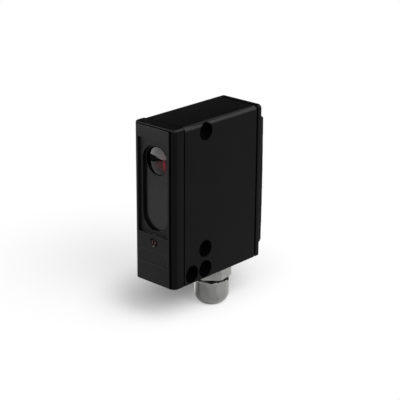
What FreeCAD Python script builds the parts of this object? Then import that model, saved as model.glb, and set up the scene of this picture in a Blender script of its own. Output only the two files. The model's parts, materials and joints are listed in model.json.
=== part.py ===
import FreeCAD, Part
import math
import os
import re

import Sketcher
from FreeCAD import Rotation, Vector

# Cuboid photoelectric proximity switch with a terminal chamber and a cable gland.
# Frame: origin midway between the two outer fixing holes, at mid width.
# X runs across the width, -Y is the way the optics look, +Z is up.

# Every length is in millimetres.
SIZES = {
    # Casing
    "body_width": 30.0,
    "body_height": 90.0,
    "hood_depth": 8.2,
    "housing_depth": 57.8,
    "side_wall": 2.0,
    "roof_wall": 2.0,
    "floor_wall": 7.0,
    "edge_round": 2.5,
    "foot_round": 0.4,
    "corner_round": 3.0,
    "hood_edge_round": 1.0,
    "seam_width": 0.7,
    "seam_depth": 0.5,
    # Fixing holes, measured from the front of the hood and the ends of the body
    "hole_setback": 24.7,
    "hole_margin": 5.5,
    "second_hole_rise": 12.0,
    "front_hole_advance": 10.7,
    "bolt_bore": 5.3,
    "bolt_recess": 9.8,
    "bolt_recess_depth": 5.5,
    "boss_wall": 1.4,
    # Rooms inside the housing
    "optics_room_depth": 28.0,
    "optics_room_band": 11.7,
    "bulkhead_wall": 1.5,
    "seal_inset": 1.0,
    "seal_width": 0.8,
    "seal_depth": 0.8,
    # Rear cover and its gasket
    "gasket_thickness": 1.3,
    "gasket_inset": 0.7,
    "gasket_opening_lap": 0.8,
    "cover_thickness": 3.3,
    "cover_round": 1.0,
    "field_side": 1.4,
    "field_end": 6.7,
    "field_rise": 2.9,
    "field_slope": 1.6,
    "field_crown": 0.4,
    "field_round": 1.0,
    "cover_skin": 2.0,
    "cover_hollow_side": 3.4,
    "cover_hollow_end": 10.0,
    # Cover screws and their inserts
    "screw_side": 4.0,
    "screw_end": 3.4,
    "screw_radius": 1.5,
    "screw_length": 8.5,
    "screw_head_radius": 2.6,
    "screw_head_height": 1.6,
    "screw_gap": 0.05,
    "screw_drive_width": 0.8,
    "screw_drive_length": 3.0,
    "screw_drive_depth": 0.9,
    "head_recess_radius": 2.9,
    "head_recess_depth": 1.8,
    "clear_hole_radius": 1.7,
    "insert_radius": 2.2,
    "insert_length": 6.0,
    "boss_radius": 3.4,
    "boss_length": 8.0,
    # Front plate and its stepped window
    "plate_side": 3.1,
    "plate_shift": 0.3,
    "plate_top": 1.1,
    "plate_foot": 0.5,
    "plate_proud": 0.5,
    "plate_thickness": 3.3,
    "plate_side_gap": 0.7,
    "plate_top_gap": 0.35,
    "plate_foot_gap": 0.15,
    "plate_corner": 0.7,
    "plate_edge_round": 0.2,
    "recess_left": 0.8,
    "recess_right": 1.2,
    "recess_drop": 7.8,
    "recess_rise": 28.3,
    "recess_depth": 1.5,
    "window_radius": 9.2,
    "panel_foot": 11.7,
    "panel_height": 7.4,
    "panel_width": 20.6,
    "panel_corner": 2.5,
    "panel_depth": 0.2,
    "panel_line_width": 0.35,
    "panel_line_depth": 0.3,
    # Optics
    "lens_drop": 20.2,
    "receiver_rise": 39.6,
    "lens_radius": 8.0,
    "lens_gap": 0.05,
    "lens_curve": 24.0,
    "lens_edge": 2.2,
    "sender_bulge": 0.9,
    "receiver_setback": 0.3,
    "pane_thickness": 1.5,
    "pane_margin": 1.0,
    "pane_gap": 0.1,
    "ledge_thickness": 1.0,
    "ledge_lap": 0.8,
    "collar_gap": 0.1,
    "flange_side": 2.8,
    "flange_top": 8.6,
    "flange_foot": 19.0,
    "carrier_side": 6.0,
    "carrier_top": 12.6,
    "carrier_foot": 31.5,
    "carrier_reach": 19.5,
    "lens_ledge": 0.8,
    "sender_throat": 2.6,
    "receiver_throat": 3.0,
    "emitter_radius": 2.5,
    "emitter_length": 5.0,
    "diode_width": 4.0,
    "diode_length": 1.6,
    # Status light under the window
    "light_height": 24.1,
    "dome_radius": 2.65,
    "dome_seat": 1.3,
    "dome_rise": 0.45,
    "dome_gap": 0.05,
    "pipe_radius": 1.4,
    "pipe_gap": 0.1,
    "guide_half_width": 4.0,
    "guide_wall": 2.4,
    "guide_length": 8.0,
    "light_gap": 0.2,
    "status_led_radius": 1.2,
    "status_led_length": 1.0,
    # Boards
    "board_thickness": 1.6,
    "board_side_gap": 0.5,
    "board_end_gap": 0.8,
    "indicator_board_half_width": 6.0,
    "indicator_board_top": 31.4,
    "indicator_board_thickness": 1.2,
    "relay_width": 15.0,
    "relay_length": 20.0,
    "relay_height": 4.4,
    "relay_rise": 2.0,
    "chip_size": 7.0,
    "chip_height": 1.2,
    "chip_drop": 9.0,
    "capacitor_radius": 2.6,
    "capacitor_height": 4.2,
    "capacitor_pitch": 7.0,
    "capacitor_rise": 23.0,
    "connector_width": 4.0,
    "connector_length": 12.0,
    "connector_margin": 3.0,
    "link_pin_side": 0.64,
    "link_pin_pitch": 2.54,
    "link_pin_count": 7.0,
    "link_pin_gap": 0.1,
    "link_pin_rise": 30.0,
    # Terminal room
    "terminal_count": 7.0,
    "terminal_pitch": 5.0,
    "terminal_width": 12.0,
    "terminal_depth": 12.5,
    "terminal_foot": 26.0,
    "well_radius": 1.9,
    "wire_mouth": 3.6,
    "wire_mouth_reach": 9.0,
    "clamp_gap": 0.1,
    "clamp_width": 4.4,
    "clamp_wall": 0.5,
    "terminal_screw_radius": 1.2,
    "terminal_head_radius": 1.8,
    "terminal_head_height": 1.4,
    "terminal_slot_width": 0.5,
    "terminal_slot_depth": 0.7,
    "adjuster_rise": 26.0,
    "adjuster_place": 6.0,
    "adjuster_size": 8.0,
    "adjuster_depth": 5.5,
    "spindle_radius": 2.0,
    "spindle_proud": 1.2,
    "spindle_seat": 1.0,
    "spindle_gap": 0.05,
    "spindle_slot_width": 0.6,
    "spindle_slot_depth": 0.8,
    "rotor_radius": 2.6,
    # Cable gland under the terminal room
    "gland_setback": 46.6,
    "gland_flat": 19.4,
    "collar_turn": -18.7,
    "nut_turn": 17.6,
    "shank_radius": 8.0,
    "shank_length": 8.0,
    "shank_gap": 0.05,
    "collar_height": 8.2,
    "collar_chamfer": 0.6,
    "ring_inner": 8.1,
    "ring_outer": 9.2,
    "ring_height": 0.8,
    "neck_radius": 7.5,
    "neck_length": 7.0,
    "neck_bore": 6.4,
    "entry_bore": 5.2,
    "nut_gap": 1.3,
    "nut_height": 15.0,
    "nut_corner_cut": 1.0,
    "nut_round": 7.6,
    "nut_end_trim": 0.8,
    "nut_top_chamfer": 0.5,
    "nut_thread_gap": 0.1,
    "nut_thread_length": 8.2,
    "nut_mouth": 5.6,
    "nut_lip": 1.4,
    "cage_gap": 0.1,
    "cage_rim": 0.8,
    "cage_length": 12.6,
    "cage_slits": 8.0,
    "cage_slit_width": 1.0,
    "seal_outer": 5.3,
    "cable_radius": 4.3,
    "gland_seal_length": 12.0,
}

# Places worked out from the sizes, as formulas for the sketches and solids.
PLACES = {
    "middle": "0 * body_width",
    "half_width": "body_width / 2",
    "top": "body_height / 2",
    "foot": "-body_height / 2",
    "front": "-hole_setback",
    "seam": "hood_depth - hole_setback",
    "rear": "seam + housing_depth",
    "cover_face": "rear + gasket_thickness",
    "cover_back": "cover_face + cover_thickness",
    "upper_hole": "top - hole_margin",
    "lower_hole": "foot + hole_margin",
    "second_hole": "lower_hole + second_hole_rise",
    "boss_reach": "bolt_recess / 2 + boss_wall",
    "room_half": "half_width - side_wall",
    "optics_back": "seam + optics_room_depth",
    "terminal_front": "optics_back + bulkhead_wall",
    "room_floor": "foot + floor_wall",
    "room_roof": "top - roof_wall",
    "plate_face": "front - plate_proud",
    "plate_back": "plate_face + plate_thickness",
    "recess_floor": "plate_face + recess_depth",
    "recess_top": "top - recess_drop",
    "recess_foot": "foot + recess_rise",
    "sender_axis": "top - lens_drop",
    "receiver_axis": "foot + receiver_rise",
    "pane_back": "plate_back + pane_thickness",
    "ledge_back": "pane_back + ledge_thickness",
    "ledge_radius": "window_radius + pane_margin - ledge_lap",
    "lens_sag": "lens_curve - sqrt(lens_curve ^ 2 - lens_radius ^ 2)",
    "sender_tip": "plate_back - sender_bulge",
    "sender_back": "sender_tip + lens_sag + lens_edge",
    "receiver_tip": "pane_back + receiver_setback",
    "receiver_back": "receiver_tip + lens_sag + lens_edge",
    "carrier_back": "seam + carrier_reach",
    "optics_board_back": "carrier_back + board_thickness",
    "main_board_front": "optics_back - board_thickness",
    "light_axis": "foot + light_height",
    "guide_back": "seam + guide_length",
    "board_half": "room_half - board_side_gap",
    "connector_x": "connector_margin - board_half",
    "board_top": "top - optics_room_band - board_end_gap",
    "terminal_board_back": "terminal_front + board_thickness",
    "block_back": "terminal_board_back + terminal_depth",
    "block_length": "terminal_count * terminal_pitch",
    "block_foot": "foot + terminal_foot",
    "wire_axis": "terminal_board_back + wire_mouth",
    "adjuster_back": "terminal_board_back + adjuster_depth",
    "screw_x": "half_width - screw_side",
    "screw_z": "top - screw_end",
    "head_seat": "cover_back - head_recess_depth",
    "gland_y": "gland_setback - hole_setback",
    "collar_top": "foot - ring_height",
    "collar_foot": "collar_top - collar_height",
    "nut_top": "collar_foot - nut_gap",
    "nut_foot": "nut_top - nut_height",
    "nut_blank_foot": "nut_foot - nut_end_trim",
    "neck_foot": "collar_foot - neck_length",
    "cage_top": "collar_foot - cage_gap",
}

# How each origin plane's normal points along its world axis.
NORMALS = {"XY_Plane": 1, "XZ_Plane": -1, "YZ_Plane": 1}

doc = FreeCAD.newDocument("ProximitySwitch")
sheet = doc.addObject("Spreadsheet::Sheet", "Sizes")
for row, (name, size) in enumerate(SIZES.items(), start=1):
    sheet.set(f"A{row}", name)
    sheet.set(f"B{row}", str(size))
    sheet.setAlias(f"B{row}", name)
doc.recompute()

pieces = {}


def formula(text):
    """Replace size and place names in a formula by references to the sheet."""

    def resolve(match):
        word = match.group(0)
        if word in PLACES:
            return f"({formula(PLACES[word])})"
        return f"Sizes.{word}" if word in SIZES else word

    return re.sub(r"[a-z][a-z_]*", resolve, text)


def value(text):
    return float(sheet.evalExpression(formula(text)))


def node(name, item):
    """Register a finished piece under the name of its file."""
    item.Label = name
    pieces[name] = item
    return item


def new_body(name):
    return doc.addObject("PartDesign::Body", name)


def sketch_on(body, role, name, level="middle", shift=None):
    """Sketch on one of the body's own planes, moved to a level along its world axis."""
    plane = next(item for item in body.Origin.OriginFeatures if item.Role == role)
    sketch = body.newObject("Sketcher::SketchObject", name)
    sketch.AttachmentSupport = (plane, [""])
    sketch.MapMode = "FlatFace"
    sketch.setExpression("AttachmentOffset.Base.z", formula(f"{NORMALS[role]} * ({level})"))
    if shift:
        sketch.setExpression("AttachmentOffset.Base.x", formula(shift[0]))
        sketch.setExpression("AttachmentOffset.Base.y", formula(shift[1]))
    return sketch


def bind(sketch, kind, text, *places):
    """Add a dimension and tie it to a formula."""
    index = sketch.addConstraint(Sketcher.Constraint(kind, *places, value(text)))
    sketch.setExpression(f"Constraints[{index}]", formula(text))


def pin_point(sketch, edge, end, x, y):
    bind(sketch, "DistanceX", x, -1, 1, edge, end)
    bind(sketch, "DistanceY", y, -1, 1, edge, end)


def outline(sketch, corners):
    """Closed outline of straight edges, each corner tied to two formulas."""
    spots = [Vector(value(x), value(y), 0) for x, y in corners]
    first = sketch.GeometryCount
    count = len(corners)
    for index in range(count):
        sketch.addGeometry(Part.LineSegment(spots[index], spots[(index + 1) % count]))
    for index, (x, y) in enumerate(corners):
        following = first + (index + 1) % count
        sketch.addConstraint(Sketcher.Constraint("Coincident", first + index, 2, following, 1))
        pin_point(sketch, first + index, 1, x, y)


def rectangle(sketch, left, right, low, high):
    outline(sketch, [(left, low), (right, low), (right, high), (left, high)])


def circle(sketch, x, y, radius):
    spot = Vector(value(x), value(y), 0)
    edge = sketch.addGeometry(Part.Circle(spot, Vector(0, 0, 1), value(radius)))
    pin_point(sketch, edge, 3, x, y)
    bind(sketch, "Radius", radius, edge)


def stadium(sketch, low, high, radius):
    """Upright slot outline with round ends centred at the two heights."""
    reach = value(radius)
    bottom, top = value(low), value(high)
    axis = Vector(0, 0, 1)
    right = sketch.addGeometry(Part.LineSegment(Vector(reach, bottom, 0), Vector(reach, top, 0)))
    upper_circle = Part.Circle(Vector(0, top, 0), axis, reach)
    upper = sketch.addGeometry(Part.ArcOfCircle(upper_circle, 0, math.pi))
    left = sketch.addGeometry(Part.LineSegment(Vector(-reach, top, 0), Vector(-reach, bottom, 0)))
    lower_circle = Part.Circle(Vector(0, bottom, 0), axis, reach)
    lower = sketch.addGeometry(Part.ArcOfCircle(lower_circle, math.pi, 2 * math.pi))
    loop = [right, upper, left, lower]
    for edge, following in zip(loop, loop[1:] + loop[:1]):
        sketch.addConstraint(Sketcher.Constraint("Coincident", edge, 2, following, 1))
    pin_point(sketch, right, 1, radius, low)
    pin_point(sketch, right, 2, radius, high)
    pin_point(sketch, left, 1, f"-({radius})", high)
    pin_point(sketch, left, 2, f"-({radius})", low)
    bind(sketch, "DistanceY", high, -1, 1, upper, 3)
    bind(sketch, "DistanceY", low, -1, 1, lower, 3)


def domed_profile(sketch, corners):
    """Outline whose last side is an arc back to the first corner, centred on the axis."""
    spots = [Vector(value(x), value(y), 0) for x, y in corners]
    last = len(spots) - 1
    for start, end in zip(spots, spots[1:]):
        sketch.addGeometry(Part.LineSegment(start, end))
    for index, (x, y) in enumerate(corners[:-1]):
        pin_point(sketch, index, 1, x, y)
    pin_point(sketch, last - 1, 2, *corners[-1])
    for index in range(last - 1):
        sketch.addConstraint(Sketcher.Constraint("Coincident", index, 2, index + 1, 1))
    rise = spots[last].x - spots[0].x
    reach = spots[last].y
    radius = (reach ** 2 + rise ** 2) / (2 * rise)
    ball = Part.Circle(Vector(spots[0].x + radius, 0, 0), Vector(0, 0, 1), radius)
    dome = sketch.addGeometry(Part.ArcOfCircle(ball, math.pi - math.asin(reach / radius), math.pi))
    sketch.addConstraint(Sketcher.Constraint("Coincident", dome, 1, last - 1, 2))
    sketch.addConstraint(Sketcher.Constraint("Coincident", dome, 2, 0, 1))
    sketch.addConstraint(Sketcher.Constraint("PointOnObject", dome, 3, -1))


def plane_of(sketch):
    return sketch.AttachmentSupport[0][0].Role


def checked(body, feature, grows):
    """Recompute and make sure that the feature added or took away material."""
    before = body.Tip.BaseFeature.Shape.Volume if body.Tip.BaseFeature else 0.0
    doc.recompute()
    change = feature.Shape.Volume - before
    if (change > 0) != grows or abs(change) < 1e-6:
        raise RuntimeError(f"{feature.Name} changed the volume by {change}")
    return feature


def pad(body, sketch, length, way=1):
    feature = body.newObject("PartDesign::Pad", f"{sketch.Name}_pad")
    feature.Profile = sketch
    feature.setExpression("Length", formula(length))
    feature.Reversed = way != NORMALS[plane_of(sketch)]
    return checked(body, feature, True)


def pocket(body, sketch, length, way=1):
    feature = body.newObject("PartDesign::Pocket", f"{sketch.Name}_pocket")
    feature.Profile = sketch
    feature.setExpression("Length", formula(length))
    feature.Reversed = way == NORMALS[plane_of(sketch)]
    return checked(body, feature, False)


def turn(body, sketch, kind="Revolution", axis="H_Axis"):
    """Revolve a profile about one of its sketch's own axes."""
    feature = body.newObject(f"PartDesign::{kind}", f"{sketch.Name}_turn")
    feature.Profile = sketch
    feature.ReferenceAxis = (sketch, [axis])
    feature.Angle = 360.0
    return checked(body, feature, kind == "Revolution")


def edges_where(shape, test):
    return [f"Edge{number}" for number, edge in enumerate(shape.Edges, start=1) if test(edge)]


def close(left, right):
    return abs(left - right) < 1e-4


def runs_along(edge, axis):
    """True for an edge whose bounding box is long only along the axis."""
    box = edge.BoundBox
    spans = {"x": box.XLength, "y": box.YLength, "z": box.ZLength}
    return spans.pop(axis) > 1e-3 and max(spans.values()) < 1e-4


def round_edges(body, radius, test, kind="Fillet"):
    """Fillet or chamfer the tip's edges that pass the test."""
    base = body.Tip
    names = edges_where(base.Shape, test)
    feature = body.newObject(f"PartDesign::{kind}", f"{body.Name}_{kind}")
    feature.Base = (base, names)
    feature.setExpression("Radius" if kind == "Fillet" else "Size", formula(radius))
    doc.recompute()
    return feature


def block(name, x, y, z):
    """Part box between pairs of formulas."""
    item = doc.addObject("Part::Box", name)
    for side, axis, (low, high) in zip(("Length", "Width", "Height"), "xyz", (x, y, z)):
        item.setExpression(side, formula(f"({high}) - ({low})"))
        item.setExpression(f"Placement.Base.{axis}", formula(low))
    return item


def place(item, x, y, z):
    for axis, text in zip("xyz", (x, y, z)):
        item.setExpression(f"Placement.Base.{axis}", formula(text))


def rod(name, axis, spot, radius, low, high, end_radius=None):
    """Cylinder, or cone with an end radius, along a world axis between two levels."""
    item = doc.addObject("Part::Cone" if end_radius else "Part::Cylinder", name)
    item.setExpression("Radius1" if end_radius else "Radius", formula(radius))
    if end_radius:
        item.setExpression("Radius2", formula(end_radius))
    item.setExpression("Height", formula(f"({high}) - ({low})"))
    turns = {"x": Rotation(Vector(0, 1, 0), 90), "y": Rotation(Vector(1, 0, 0), -90)}
    item.Placement.Rotation = turns.get(axis, Rotation())
    spots = list(spot)
    spots.insert("xyz".index(axis), low)
    place(item, *spots)
    return item


def fuse(name, *items):
    result = doc.addObject("Part::MultiFuse", name)
    result.Shapes = list(items)
    return result


def cut(name, base, *tools):
    result = doc.addObject("Part::Cut", name)
    result.Base = base
    result.Tool = tools[0] if len(tools) == 1 else fuse(f"{name}_tools", *tools)
    return result


def group(name, items):
    result = doc.addObject("Part::Compound", name)
    result.Links = items
    return result


def corner_spots():
    """Places of the four cover screws."""
    return [(f"{side} * screw_x", f"{end} * screw_z") for side in (-1, 1) for end in (-1, 1)]


def seal_ring(sketch):
    """Two rectangles of the cord that seals the hood on the housing."""
    for lap in ("seal_inset", "seal_inset + seal_width"):
        side = f"half_width - ({lap})"
        end = f"top - ({lap})"
        rectangle(sketch, f"-({side})", side, f"-({end})", end)


def make_housing():
    """Moulded casing: two rooms parted by a bulkhead, fixing bores and screw bosses."""
    body = new_body("housing_body")
    shell = sketch_on(body, "XZ_Plane", "housing_outline", "seam")
    rectangle(shell, "-half_width", "half_width", "foot", "top")
    pad(body, shell, "housing_depth")
    high = value("top")
    round_edges(body, "edge_round", lambda e: runs_along(e, "y") and close(e.BoundBox.ZMin, high))
    round_edges(body, "foot_round", lambda e: runs_along(e, "y") and close(e.BoundBox.ZMax, -high))

    room = sketch_on(body, "XZ_Plane", "optics_room", "seam")
    band = "top - optics_room_band"
    rectangle(room, "-room_half", "room_half", f"-({band})", band)
    pocket(body, room, "optics_room_depth")

    chamber = sketch_on(body, "XZ_Plane", "terminal_room", "terminal_front")
    rectangle(chamber, "-room_half", "room_half", "room_floor", "room_roof")
    pocket(body, chamber, "rear - terminal_front")

    bosses = sketch_on(body, "XZ_Plane", "screw_bosses", "rear - boss_length")
    for side in (-1, 1):
        circle(bosses, f"{side} * screw_x", "screw_z", "boss_radius")
    pad(body, bosses, "boss_length")

    tube = sketch_on(body, "YZ_Plane", "second_hole_tube", "-room_half")
    circle(tube, "middle", "second_hole", "boss_reach")
    pad(body, tube, "2 * room_half")

    groove = sketch_on(body, "XZ_Plane", "seal_groove", "seam")
    seal_ring(groove)
    pocket(body, groove, "seal_depth")

    spots = [("middle", "upper_hole"), ("middle", "lower_hole"), ("middle", "second_hole")]
    spots.append(("-front_hole_advance", "lower_hole"))
    bores = sketch_on(body, "YZ_Plane", "fixing_bores", "-half_width")
    for y, z in spots:
        circle(bores, y, z, "bolt_bore / 2")
    pocket(body, bores, "body_width")
    for side, word in ((-1, "left"), (1, "right")):
        recesses = sketch_on(body, "YZ_Plane", f"{word}_bolt_recesses", f"{side} * half_width")
        for y, z in spots:
            circle(recesses, y, z, "bolt_recess / 2")
        pocket(body, recesses, "bolt_recess_depth", -side)

    inserts = sketch_on(body, "XZ_Plane", "insert_holes", "rear - insert_length - insert_radius")
    for x, z in corner_spots():
        circle(inserts, x, z, "insert_radius")
    pocket(body, inserts, "insert_length + insert_radius")

    entry = sketch_on(body, "XY_Plane", "gland_hole", "foot")
    circle(entry, "middle", "gland_y", "shank_radius + shank_gap")
    pocket(body, entry, "floor_wall")

    slot = sketch_on(body, "XZ_Plane", "link_slot", "optics_back")
    reach = "(link_pin_count - 1) * link_pin_pitch / 2 + link_pin_side / 2 + link_pin_gap"
    half = "link_pin_side / 2 + link_pin_gap"
    rise = "foot + link_pin_rise"
    rectangle(slot, f"-({reach})", reach, f"{rise} - ({half})", f"{rise} + {half}")
    pocket(body, slot, "bulkhead_wall")
    node("housing", body)


def make_hood():
    """Front casing piece with the pocket for the plate and the seat for the pane."""
    body = new_body("hood_body")
    shell = sketch_on(body, "XZ_Plane", "hood_outline", "front")
    rectangle(shell, "-half_width", "half_width", "foot", "top")
    pad(body, shell, "hood_depth")
    front = value("front")
    high = value("top")
    round_edges(body, "corner_round", lambda e: runs_along(e, "z") and close(e.BoundBox.YMin, front))
    round_edges(body, "hood_edge_round", lambda e: runs_along(e, "y") and close(e.BoundBox.ZMin, high))

    rebate = sketch_on(body, "XZ_Plane", "seam_rebate", "seam - seam_width")
    for lap in ("seam_depth", "-seam_depth"):
        side = f"half_width - ({lap})"
        end = f"top - ({lap})"
        rectangle(rebate, f"-({side})", side, f"-({end})", end)
    pocket(body, rebate, "seam_width")

    seat = sketch_on(body, "XZ_Plane", "plate_seat", "front")
    side = "half_width - plate_side + plate_side_gap"
    low = "foot + plate_foot - plate_foot_gap"
    rectangle(seat, f"-({side})", side, low, "top - plate_top + plate_top_gap")
    pocket(body, seat, "plate_back - front")

    pane_seat = sketch_on(body, "XZ_Plane", "pane_seat", "plate_back")
    stadium(pane_seat, "receiver_axis", "sender_axis", "window_radius + pane_margin + pane_gap")
    pocket(body, pane_seat, "pane_thickness")

    opening = sketch_on(body, "XZ_Plane", "hood_opening", "pane_back")
    stadium(opening, "receiver_axis", "sender_axis", "ledge_radius")
    pocket(body, opening, "seam - pane_back")

    hollow = sketch_on(body, "XZ_Plane", "hood_hollow", "ledge_back")
    rectangle(hollow, "-room_half", "room_half", "foot + roof_wall", "room_roof")
    pocket(body, hollow, "seam - ledge_back")

    light = sketch_on(body, "XZ_Plane", "light_hole", "plate_back")
    circle(light, "middle", "light_axis", "pipe_radius + pipe_gap")
    pocket(body, light, "ledge_back - plate_back")
    node("optics_hood", body)

    seal = new_body("hood_seal_body")
    ring = sketch_on(seal, "XZ_Plane", "seal_outline", "seam")
    seal_ring(ring)
    pad(seal, ring, "seal_depth")
    node("hood_seal", seal)


def make_front_plate():
    """Plate let into the hood: stepped window, bare label panel and light hole."""
    body = new_body("plate_body")
    slab = sketch_on(body, "XZ_Plane", "plate_outline", "plate_face")
    left = "plate_side - half_width - plate_shift"
    right = "half_width - plate_side - plate_shift"
    rectangle(slab, left, right, "foot + plate_foot", "top - plate_top")
    pad(body, slab, "plate_thickness")
    face = value("plate_face")
    round_edges(body, "plate_corner", lambda e: runs_along(e, "y"))
    round_edges(body, "plate_edge_round",
                lambda e: close(e.BoundBox.YMin, face) and e.BoundBox.YLength < 1e-4)

    recess = sketch_on(body, "XZ_Plane", "window_recess", "plate_face")
    rectangle(recess, f"{left} + recess_left", f"{right} - recess_right", "recess_foot", "recess_top")
    pocket(body, recess, "recess_depth")

    window = sketch_on(body, "XZ_Plane", "window_opening", "recess_floor")
    stadium(window, "receiver_axis", "sender_axis", "window_radius")
    pocket(body, window, "plate_back - recess_floor")

    panel = sketch_on(body, "XZ_Plane", "label_panel", "plate_face")
    base = "foot + panel_foot"
    ceiling = "foot + panel_foot + panel_height"
    rectangle(panel, "-panel_width / 2", "panel_width / 2", base, ceiling)
    pocket(body, panel, "panel_depth")
    high = value(ceiling)
    round_edges(body, "panel_corner", lambda e: runs_along(e, "y") and close(e.BoundBox.ZMin, high))
    line = sketch_on(body, "XZ_Plane", "panel_line", "plate_face")
    rectangle(line, left, right, f"{base} - panel_line_width", base)
    pocket(body, line, "panel_line_depth")

    seat = sketch_on(body, "XZ_Plane", "dome_hole", "plate_face")
    circle(seat, "middle", "light_axis", "dome_radius + dome_gap")
    pocket(body, seat, "dome_seat")
    hole = sketch_on(body, "XZ_Plane", "pipe_hole", "plate_face + dome_seat")
    circle(hole, "middle", "light_axis", "pipe_radius + pipe_gap")
    pocket(body, hole, "plate_thickness - dome_seat")
    node("front_plate", body)


def make_lens(name, tip, axis):
    """Plano-convex lens whose curved side faces the target."""
    ball = doc.addObject("Part::Sphere", f"{name}_ball")
    ball.setExpression("Radius", formula("lens_curve"))
    place(ball, "middle", f"{tip} + lens_curve", axis)
    back = f"{tip} + lens_sag + lens_edge"
    rim = rod(f"{name}_rim", "y", ("middle", axis), "lens_radius", f"{tip} - lens_edge", back)
    lens = doc.addObject("Part::Common", name)
    lens.Base = rim
    lens.Tool = ball
    node(name, lens)


def make_optics():
    """Pane, the two lenses and the carrier with its light cones."""
    pane = new_body("pane_body")
    sheet_outline = sketch_on(pane, "XZ_Plane", "pane_outline", "plate_back")
    stadium(sheet_outline, "receiver_axis", "sender_axis", "window_radius + pane_margin")
    pad(pane, sheet_outline, "pane_thickness")
    eye = sketch_on(pane, "XZ_Plane", "lens_hole", "plate_back")
    circle(eye, "middle", "sender_axis", "lens_radius + lens_gap")
    pocket(pane, eye, "pane_thickness")
    node("filter_pane", pane)

    make_lens("sender_lens", "sender_tip", "sender_axis")
    make_lens("receiver_lens", "receiver_tip", "receiver_axis")

    carrier = new_body("carrier_body")
    collar = sketch_on(carrier, "XZ_Plane", "carrier_collar", "pane_back")
    stadium(collar, "receiver_axis", "sender_axis", "ledge_radius - collar_gap")
    pad(carrier, collar, "seam - pane_back")
    flange = sketch_on(carrier, "XZ_Plane", "carrier_flange", "ledge_back")
    side = "half_width - flange_side"
    rectangle(flange, f"-({side})", side, "foot + flange_foot", "top - flange_top")
    pad(carrier, flange, "seam - ledge_back")
    trunk = sketch_on(carrier, "XZ_Plane", "carrier_trunk", "seam")
    side = "half_width - carrier_side"
    rectangle(trunk, f"-({side})", side, "foot + carrier_foot", "top - carrier_top")
    pad(carrier, trunk, "carrier_reach")
    guide = sketch_on(carrier, "XZ_Plane", "light_guide", "seam")
    low = "light_axis - pipe_radius - guide_wall"
    rectangle(guide, "-guide_half_width", "guide_half_width", low, "foot + carrier_foot")
    pad(carrier, guide, "guide_length")

    cones = (("sender", "sender_axis", "sender_back", "sender_throat"),
             ("receiver", "receiver_axis", "receiver_back", "receiver_throat"))
    for word, axis, back, throat in cones:
        cone = sketch_on(carrier, "YZ_Plane", f"{word}_cone", shift=("middle", axis))
        seat = "lens_radius + lens_gap"
        ledge = "lens_radius - lens_ledge"
        outline(cone, [("pane_back", "middle"), ("carrier_back", "middle"), ("carrier_back", throat),
                       (back, ledge), (back, seat), ("pane_back", seat)])
        turn(carrier, cone, "Groove")
    duct = sketch_on(carrier, "XZ_Plane", "light_duct", "ledge_back")
    circle(duct, "middle", "light_axis", "pipe_radius + pipe_gap")
    pocket(carrier, duct, "guide_back - ledge_back")
    node("lens_carrier", carrier)


def make_status_light():
    """Domed light pipe that carries the status lamp to the front plate."""
    pipe = new_body("pipe_body")
    profile = sketch_on(pipe, "YZ_Plane", "pipe_profile", shift=("middle", "light_axis"))
    seat = "plate_face + dome_seat"
    end = "guide_back - status_led_length - light_gap"
    tip = "plate_face - dome_rise"
    domed_profile(profile, [(tip, "middle"), (end, "middle"), (end, "pipe_radius"), (seat, "pipe_radius"),
                            (seat, "dome_radius"), ("plate_face", "dome_radius")])
    turn(pipe, profile)
    node("status_light_pipe", pipe)

    led = rod("status_led_item", "y", ("middle", "light_axis"), "status_led_radius",
              "guide_back - status_led_length", "guide_back")
    node("status_led", led)


def make_boards():
    """Circuit boards of the optics room and what stands on them."""
    wide = ("-board_half", "board_half")
    tall = ("-board_top", "board_top")
    above_tube = ("second_hole + boss_reach + board_end_gap", "board_top")
    optics = block("optics_board_item", wide, ("carrier_back", "optics_board_back"), above_tube)
    node("optics_board", optics)
    narrow = ("-indicator_board_half_width", "indicator_board_half_width")
    low = "light_axis - pipe_radius - guide_wall"
    card = block("indicator_board_item", narrow,
                 ("guide_back", "guide_back + indicator_board_thickness"),
                 (low, "foot + indicator_board_top"))
    node("indicator_board", card)

    lamp = rod("sender_led_item", "y", ("middle", "sender_axis"), "emitter_radius",
               "carrier_back - emitter_length", "carrier_back")
    node("sender_led", lamp)
    half = "diode_width / 2"
    diode = block("receiver_diode_item", (f"-{half}", half), ("carrier_back - diode_length", "carrier_back"),
                  (f"receiver_axis - {half}", f"receiver_axis + {half}"))
    node("receiver_diode", diode)

    main = block("main_board_item", wide, ("main_board_front", "optics_back"), tall)
    node("main_board", main)
    relay = block("relay_item", ("-relay_width / 2", "relay_width / 2"),
                  ("main_board_front - relay_height", "main_board_front"),
                  ("relay_rise", "relay_rise + relay_length"))
    node("output_relay", relay)
    chip = block("chip_item", ("-chip_size / 2", "chip_size / 2"),
                 ("main_board_front - chip_height", "main_board_front"),
                 ("-chip_drop - chip_size / 2", "chip_size / 2 - chip_drop"))
    node("control_chip", chip)
    cans = []
    for step in (-1, 0, 1):
        cans.append(rod(f"capacitor_{step + 2}", "y", (f"{step} * capacitor_pitch", "foot + capacitor_rise"),
                        "capacitor_radius", "main_board_front - capacitor_height", "main_board_front"))
    node("board_capacitors", group("capacitor_group", cans))
    link = block("connector_item",
                 ("connector_x - connector_width / 2", "connector_x + connector_width / 2"),
                 ("optics_board_back", "main_board_front"),
                 ("-chip_drop - connector_length / 2", "connector_length / 2 - chip_drop"))
    node("board_connector", link)

    pins = []
    half = "link_pin_side / 2"
    rise = "foot + link_pin_rise"
    for index in range(round(value("link_pin_count"))):
        x = f"({index} - (link_pin_count - 1) / 2) * link_pin_pitch"
        pins.append(block(f"link_pin_{index + 1}", (f"{x} - {half}", f"{x} + {half}"),
                          ("optics_back", "terminal_front"), (f"{rise} - {half}", f"{rise} + {half}")))
    node("bulkhead_pins", group("link_pins", pins))


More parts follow.
